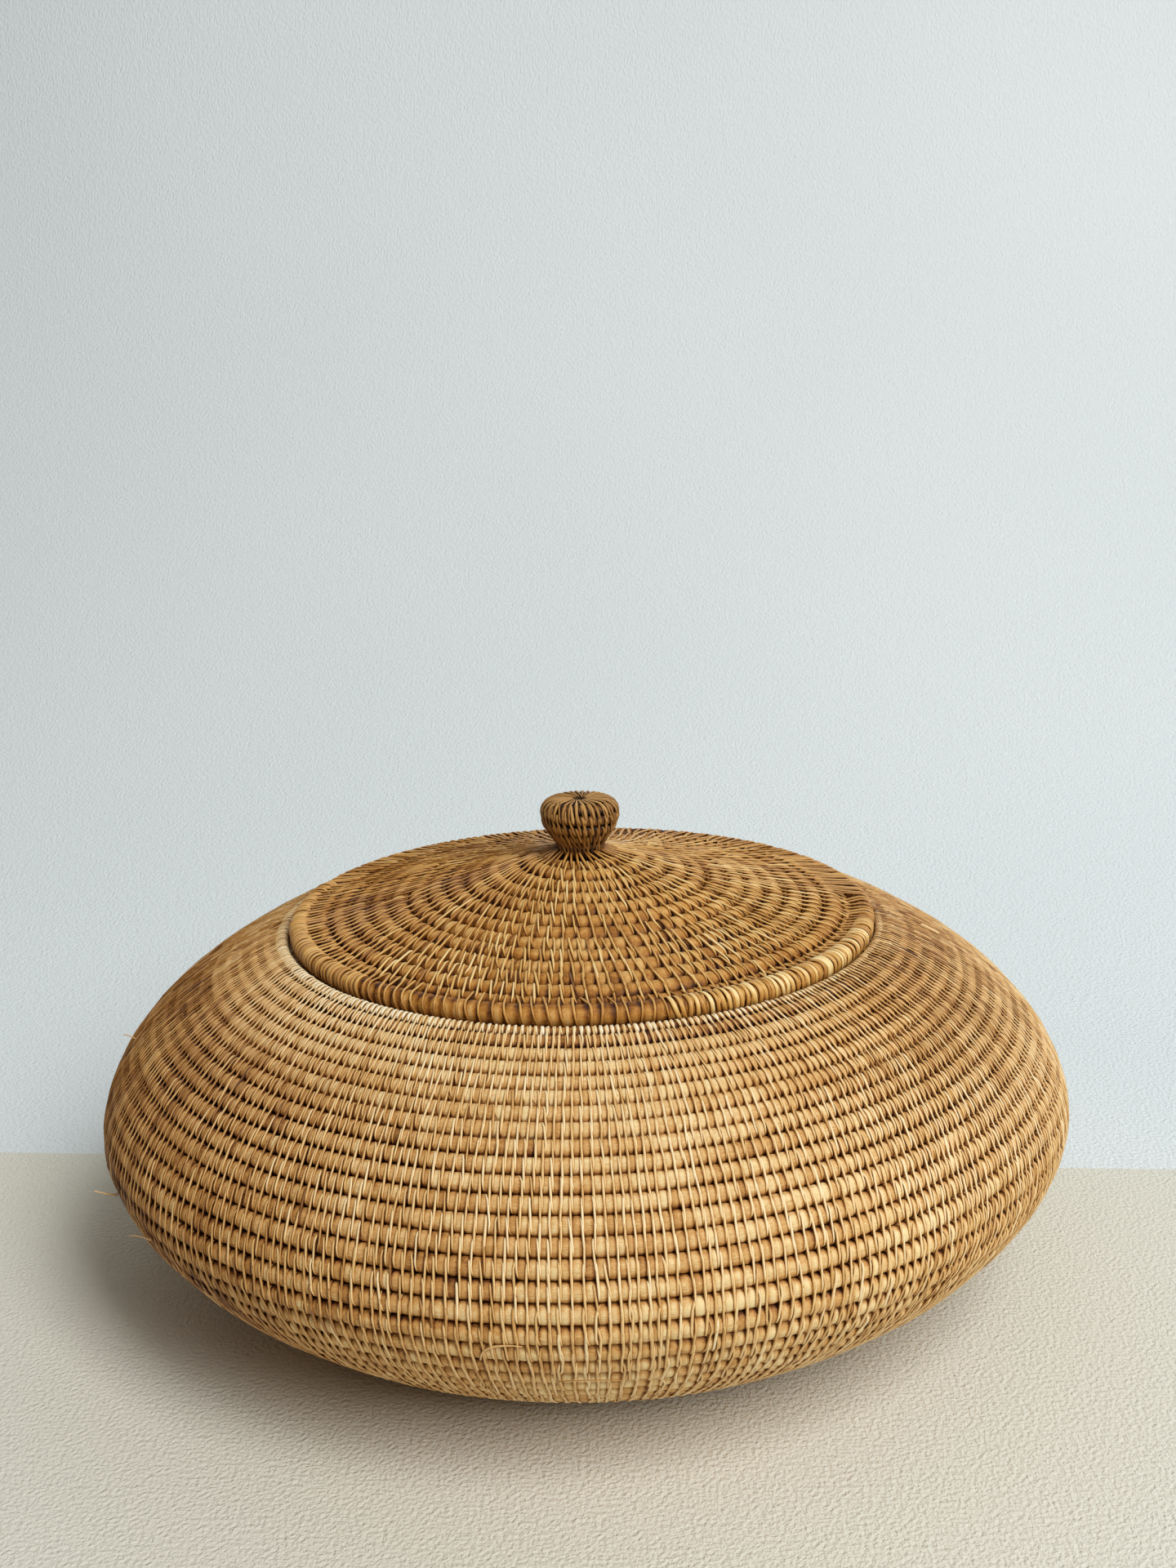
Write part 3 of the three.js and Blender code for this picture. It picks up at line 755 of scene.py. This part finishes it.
locatingRadius = pot["mouthRadius"] - lid["clearance"] - lid["locatingCane"] / 2
locatingReach = (lid["rimCane"] + lid["locatingCane"]) / 2 * math.hypot(0.5, 1)
locatingDrop = math.sqrt(locatingReach ** 2 - (rimHoop["r"] - locatingRadius) ** 2)
upperLocating = {"r": locatingRadius, "z": rimHoop["z"] - locatingDrop, "thick": lid["locatingCane"] / 2}
lowerLocating = dict(upperLocating, z=upperLocating["z"] - lid["locatingCane"] - rowGap)
for name, hoop, seed in (("upper_locating_hoop", upperLocating, 81),
                         ("lower_locating_hoop", lowerLocating, 84)):
    piece = hoopPiece(name + "_cane", hoop, seed, *honeyCore)
    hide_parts(name)
    wrapPiece(name + "_binding", hoop, 170, {"lean": 10, "width": 1.6, "thick": 0.4, "tone": 0.55}, seed + 1,
              *honeyPeel)
print("lid rim and hoops bound")

# Knob.

knob = {
    "radius": 18.8, "height": 24.6, "edge": 4.0, "taper": 0.58, "neck": 0.9, "hole": 1.6,
    "coreClearance": 0.4, "cane": 4.6, "topStrips": 30, "spacing": 2.9, "fanStrips": 34,
}
neckLevel = lidLevel(lid["neckRadius"])
neckFoot = neckLevel - lid["cane"] / 2
knobTop = neckLevel + lid["cane"] / 2 + knob["height"] - knob["cane"] / 2
knobSide = knob["radius"] - knob["cane"] / 2
neckSide = lid["neckRadius"] - knob["cane"] / 2
topLine = np.stack([np.linspace(knob["hole"], knobSide - knob["edge"], 40), np.full(40, knobTop)], 1)
angle = np.linspace(math.pi / 2, 0, 30)
edgeArc = np.stack([knobSide - knob["edge"] + knob["edge"] * np.cos(angle),
                    knobTop - knob["edge"] + knob["edge"] * np.sin(angle)], 1)
taperLevel, neckTop = knobTop - knob["height"] * knob["taper"], knobTop - knob["height"] * knob["neck"]
bezier = np.array([edgeArc[-1], [knobSide, taperLevel], [neckSide, taperLevel], [neckSide, neckTop]])
t = np.linspace(0, 1, 60)[:, None]
waist = ((1 - t) ** 3 * bezier[0] + 3 * t * (1 - t) ** 2 * bezier[1] + 3 * t ** 2 * (1 - t) * bezier[2]
         + t ** 3 * bezier[3])
neckLine = np.stack([np.full(20, neckSide), np.linspace(neckTop, neckFoot, 20)], 1)
knobOutline = outlineThrough(np.concatenate([topLine, edgeArc[1:], waist[1:], neckLine[1:]]))
# Its cane is darker where the coil starts, round the hole on top: painted shade.
knobCoil = wind(knobOutline, 0, lambda run: knob["cane"] + 0 * run, 91, {
    "side": -1, "uneven": 0.4, "tone": 0.25, "cleftShade": 0.5, "toneAt": lambda run, azimuth: -0.4 * (run < 4),
    "shrinkAt": lambda run: 0.2 + 0 * run, "lowAt": lambda run: 0 * run})
duskyCore, duskyPeel = (duskyCane, "lid", "dusky_cane"), (duskyStrip, "lid", "dusky_cane")
knobLengths = lengthsAlong(knobCoil, [("knob_coil", 2, math.inf)])
knobStrips = plantStrips(knobCoil, lambda radius, run: knob["spacing"] + 0 * run, 0, 92)
for name, first, last in knobLengths:
    piece = makePiece(name + "_cane", *caneRings(knobCoil, knobStrips, first, last), *duskyCore)
    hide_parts(name)

edgeRun = knobOutline["run"][len(topLine) + len(edgeArc) // 2 - 1]  # halfway round the edge
turn = knobStrips["shown"]
head, tail = rowAt(knobCoil, turn), rowAt(knobCoil, turn + 1)
chosen = (turn + 1 <= knobCoil["turns"]) & (head["run"] > edgeRun - 2) & (tail["z"] > neckLevel + 2)
neckShade = np.clip((neckLevel + 15 - tail["z"][chosen]) / 14, 0, 1)  # painted shade, darker low down towards the neck
look = {"lean": 12, "width": 1.75, "thick": 0.45, "tone": 0.66 - 0.3 * neckShade, "leanJitter": 3}
strips = stripRings(take(head, chosen), take(tail, chosen), math.tau * turn[chosen], lowBindingPath,
                    stripSection, look, 93)
makePiece("knob_side_binding", *strips, *duskyPeel)


def offsetFrom(outline, run, lift):
    radius, level, slopeR, slopeZ = alongOutline(outline, run)
    return np.stack([radius - slopeZ * lift, level + slopeR * lift], 1)


def spokeStrips(path, shares, azimuth, look, seed):
    # Strips that run out along a profile: radius, level, then shares of width and tone
    source = randomFrom(seed)
    outline, (widthShare, toneShare) = outlineThrough(path), np.array(shares, float).T[..., None]
    (pathR, pathZ), (slopeR, slopeZ) = (outline[key].T[..., None] for key in ("points", "slope"))
    run, count = outline["run"][:, None], len(azimuth)
    width = np.minimum(look["width"], math.tau * pathR / count * 0.72) * widthShare
    across = stripSection[:, 0] * width * source.uniform(0.82, 1.1, (count, 1, 1))
    height = stripSection[:, 1] * np.minimum(look["thick"], width * 0.45)
    lean = math.tan(math.radians(look["lean"])) * (run - run[-1] / 2)
    lean = lean * source.uniform(0.6, 1.4, (count, 1, 1))
    radius, level = pathR - slopeZ * height, pathZ + slopeR * height
    turned = azimuth[:, None, None] + (lean + across) / np.maximum(radius, 1.2)
    tone = look["tone"] + source.normal(0, 0.08, (count, 1, 1))
    tone = tone * stripSection[:, 2] * toneShare
    fibre = stacked(run, across, source.uniform(0, grainSpread, (count, 1, 1)))
    return placed(radius, level, turned), tone, fibre


# Strips over the knob's top, from the small hole out and down over its edge.
source = randomFrom(94)
run = np.concatenate([[0.5, 1.1], np.linspace(2.2, edgeRun + 4.6, 11)])
lift = knob["cane"] / 2 - 0.15 + np.array([-1.6, -0.5] + [0.0] * 9 + [-0.05, -0.6])
# The low tone shares at the hole are painted shade.
shares = [[0.8, 0.05], [0.9, 0.35]] + [[1, 1]] * 7 + [[1, 0.95], [0.9, 0.9], [0.75, 0.8], [0.5, 0.6]]
azimuth = evenly(knob["topStrips"], source.normal(0, 0.12, knob["topStrips"]))
strips = spokeStrips(offsetFrom(knobOutline, run, lift), shares, azimuth,
                     {"width": 2.1, "thick": 0.5, "lean": 6, "tone": 0.74}, 95)
makePiece("knob_top_binding", *strips, *duskyPeel)

# Strips that fan out from the neck and tie it to the first rows of the lid.
crown = lidLevel(np.array([11, 13, 16, 19, 22])) + lid["cane"] / 2
path = [(10.2, crown[0] - 0.6), (11, crown[0] + 0.6), (12.2, crown[1] + 0.6), (14.5, crown[2] + 0.7),
        (18, crown[3] + 0.3), (22, crown[4] - 0.9)]
# The low tone shares at the neck's foot are painted shade.
shares = [(0.6, 0.25), (0.85, 0.4), (1, 0.65), (1, 0.95), (1, 1), (0.4, 0.5)]
azimuth = evenly(knob["fanStrips"], source.normal(0, 0.12, knob["fanStrips"]))
strips = spokeStrips(path, shares, azimuth, {"width": 1.4, "thick": 0.5, "lean": 14, "tone": 0.6}, 96)
makePiece("neck_binding", *strips, *honeyPeel)

# Core of the knob, which starts as far along the outline as the solid's does.
inset = knob["cane"] / 2 + knob["coreClearance"]
run = np.linspace(knobOutline["run"][-1] * 3 / 16, knobOutline["run"][-1], 40)
profile = offsetFrom(knobOutline, run, -inset)
profile = np.concatenate([[[0.01, knobTop - inset]], profile, [[0.01, neckFoot]]])
piece = turnedPiece("knob_core_cane", profile, 0.05, 7, *duskyCore)
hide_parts("knob_core")
print("knob wound and bound")

# Loose ends, which have sprung out of the work: azimuth, radius and level of the root, the way it
# leaves and the way it bends (round the basket, out, up), length and width.
looseEnds = {
    "pot": [(-153, 229.0, 70.0, 0, 1, 0.45, 0, 0, 0.05, 9.5, 0.8),
            (-152, 229.2, 73.0, 0.2, 1, 0.1, 0, 0, 0.2, 5.5, 0.7),
            (-141, 229.6, 71.5, -1, 0.06, -0.2, 0, -0.06, -0.15, 25, 0.9),
            (-171, 214.2, 113.0, -0.5, 0.9, 0.5, 0.2, 0, -0.2, 7, 0.7),
            (-93, 221.8, 55.0, 1, 0.1, 0.14, 0, -0.12, -0.12, 23, 0.6),
            (-99.9, 227.6, 66.5, 0.05, 0.3, 1.1, 0.95, -0.18, -0.6, 16, 0.9)],
    "lid": [(-23.5, 138.6, 157.6, 0.45, 1, 0.1, -1.1, -0.1, -0.1, 12, 2.0),
            (-26, 138.8, 157.4, -0.5, 0.95, 0.05, -0.4, -0.1, -0.05, 12, 1.1),
            (-24.5, 138.8, 157.8, -0.1, 1, 0.15, -0.5, 0, -0.1, 9, 1.2),
            (-85, 126.6, 166.2, 0.4, 0.5, 0.8, 0.3, 0.3, -0.2, 5, 0.8)],
}


def looseRings(ends, seed):
    source = randomFrom(seed)
    ends = np.array(ends, float)
    azimuth, share = np.radians(ends[:, 0]), np.linspace(0, 1, 12)[:, None]
    around, out = placed(1, 0, azimuth + math.pi / 2), placed(1, 0, azimuth)
    axes = np.stack([around, out, out * 0 + (0, 0, 1)], 1)
    way, bend = (np.einsum("ij,ijk->ik", ends[:, i:i + 3], axes)[:, None] for i in (3, 6))
    line = ends[:, 9, None, None] * (share * way + share ** 2 * bend)
    line = line + placed(ends[:, 1], ends[:, 2], azimuth)[:, None]
    along = np.gradient(line, axis=1)
    along /= np.linalg.norm(along, axis=2, keepdims=True)
    upright = np.abs(ends[:, 4, None]) / np.linalg.norm(ends[:, 3:6], axis=1, keepdims=True)
    facing = ((1 - upright) * out + upright * axes[:, 2])[:, None] + 0 * along
    facing -= np.sum(facing * along, 2, keepdims=True) * along
    facing /= np.linalg.norm(facing, axis=2, keepdims=True)
    width = ends[:, 10, None] * np.interp(share[:, 0], [0, 0.7, 1], [1, 0.9, 0.35])
    across = (width[:, :, None] * flatSection[:, 0])[..., None]
    rings = line[:, :, None] + across * np.cross(along, facing)[:, :, None]
    rings = rings + 0.35 * flatSection[:, 1, None] * facing[:, :, None]
    tone = source.uniform(0.4, 0.8, (len(ends), 1, 1)) * (0.6 + 0.4 * flatSection[:, 2])
    place = ends[:, 9, None, None] * share
    return rings, tone, stacked(place, across[..., 0], source.uniform(0, grainSpread, (len(ends), 1, 1)))


makePiece("pot_loose_ends", *looseRings(looseEnds["pot"], 101), strawStrip, "pot", "straw_cane")
makePiece("lid_loose_ends", *looseRings(looseEnds["lid"], 102), *honeyPeel)
print("loose ends added")

# Stage, light and camera. The table ends on the line seen in the picture, and beyond it the
# floor has the wall's paint and sweeps up into the wall.

stage = {
    "edgeLeft": (-0.3307, 0.0800), "edgeRight": (0.3102, 0.0281),
    "half": 4.0, "sweepStart": 0.16, "wallDistance": 1.3, "wallTop": 3.2,
}


def plasterMaterial(name, look):
    # Painted plaster: dead matt, with the fine pebbling that a roller leaves, in mm.
    material, tree = startMaterial(name)
    place = addNode(tree, "NewGeometry").outputs["Position"]
    sizes = [size * mm for size in look["grain"]]
    grain = addNode(tree, "VectorMath", {"operation": "DIVIDE", 1: sizes}, {0: place})
    pebbles = addNode(tree, "TexNoise", {"Scale": 1, "Detail": 2, "Roughness": 0.5},
                      {"Vector": grain.outputs[0]})
    tint = addNode(tree, "TexNoise", {"Scale": 1.3, "Detail": 2}, {"Vector": place})
    finishMaterial(tree, {"bump": 0.9, "depth": 1.5, "roughness": 0.9, "shine": 0.2},
                   zip((0.3, 0.7), look["tints"]), tint.outputs["Fac"], pebbles.outputs["Fac"])
    return material


def stagePiece(name, points, faces, material):
    mesh = bpy.data.meshes.new(name)
    mesh.from_pydata(points, [], faces)
    mesh.shade_smooth()
    mesh.materials.append(material)
    piece = addObject(name, mesh)


edge = np.array([stage["edgeLeft"], stage["edgeRight"]])
slant = (edge[1] - edge[0]) / np.linalg.norm(edge[1] - edge[0])
back = np.array([-slant[1], slant[0]])
left, right = edge.mean(0) - slant * stage["half"], edge.mean(0) + slant * stage["half"]
nearLeft, nearRight = left - back * stage["half"], right - back * stage["half"]
table = plasterMaterial("painted board, rolled", {
    "grain": (1.9, 1.9, 1.9), "tints": ("#e3e2d4", "#eae9dc")})
stagePiece("table", [(*nearLeft, 0), (*nearRight, 0), (*right, 0), (*left, 0)], [(0, 1, 2, 3)], table)
wall = plasterMaterial("painted plaster wall, rolled", {
    "grain": (2.2, 2.2, 5.5), "tints": ("#e7f0f2", "#edf5f7")})
bendAngles = np.linspace(0, math.pi / 2, 41)
bendRadius = stage["wallDistance"] - stage["sweepStart"]
ahead = np.concatenate([[0], stage["sweepStart"] + bendRadius * np.sin(bendAngles), [stage["wallDistance"]]])
height = np.concatenate([[0], bendRadius * (1 - np.cos(bendAngles)), [stage["wallTop"]]])
points = [(*(side + back * a), h) for a, h in zip(ahead, height) for side in (left, right)]
faces = [(i, i + 1, i + 3, i + 2) for i in range(0, len(points) - 2, 2)]
stagePiece("wall", points, faces, wall)

lights = {
    "window": {"place": (1.55, -1.98, 2.6), "aim": (0, 0.1, 0.1), "size": (1.3, 2.8), "energy": 103},
    "sky": {"inner": "#b58d5a", "outer": "#eef4f9", "low": 0.12, "high": 0.45,
            "seen": "#dde4e6", "seenStrength": 0.8},
}
look = lights["window"]
light = bpy.data.lights.new("window", "AREA")
light.shape = "RECTANGLE"
light.size, light.size_y = look["size"]
light.energy = look["energy"]
lamp = addObject("window", light)
lamp.location = look["place"]
lamp.rotation_euler = (Vector(look["aim"]) - Vector(look["place"])).to_track_quat("-Z", "Y").to_euler()
lamp.visible_camera = False

# The room: pale on the window's side, warm on the inner side, and dimmer low down. Past the edge of
# the wall the camera sees one pale colour. Nothing here is metal or glass.
look = lights["sky"]
world = bpy.data.worlds.new("room")
scene.world = world
world.use_nodes = True
tree = world.node_tree
tree.nodes.clear()
direction = addNode(tree, "TexCoord").outputs["Generated"]
axes = addNode(tree, "SeparateXYZ", {}, {"Vector": direction})
share = addNode(tree, "Math", {"operation": "MULTIPLY_ADD", 1: 0.5, 2: 0.5}, {0: axes.outputs["X"]})
ramp = addNode(tree, "ValToRGB", {"stops": [(0.1, linear(look["inner"])), (0.7, linear(look["outer"]))]},
               {"Fac": share.outputs[0]})
strength = addNode(tree, "Math", {"operation": "MULTIPLY_ADD", "use_clamp": True,
                                  1: look["high"] - look["low"], 2: look["low"]}, {0: axes.outputs["Z"]})
room = addNode(tree, "Background", {}, {"Color": ramp.outputs["Color"], "Strength": strength.outputs[0]})
seen = addNode(tree, "Background", {"Color": linear(look["seen"]), "Strength": look["seenStrength"]})
path = addNode(tree, "LightPath")
either = addNode(tree, "MixShader", {}, {
    0: path.outputs["Is Camera Ray"], 1: room.outputs[0], 2: seen.outputs[0]})
addNode(tree, "OutputWorld", {}, {"Surface": either.outputs[0]})

# Fitted to the photo: a focal length of 1877 pixels in a picture 1920 high, for a sensor of 36 mm.
camera = {"lens": 1877 / 1920 * 36, "place": (0.00427, -0.7103, bellyLevel * mm + 0.3156),
          "pitch": 13.53, "roll": -1.36}
cameraData = bpy.data.cameras.new("camera")
cameraData.lens = camera["lens"]
cameraData.sensor_width = 36
cameraObject = addObject("camera", cameraData)
pitch, roll = math.radians(90 - camera["pitch"]), math.radians(camera["roll"])
cameraObject.matrix_world = (Matrix.Translation(camera["place"]) @ Matrix.Rotation(pitch, 4, "X")
                             @ Matrix.Rotation(roll, 4, "Z"))
scene.camera = cameraObject
scene.view_settings.view_transform = "Standard"
print("stage, light and camera set")
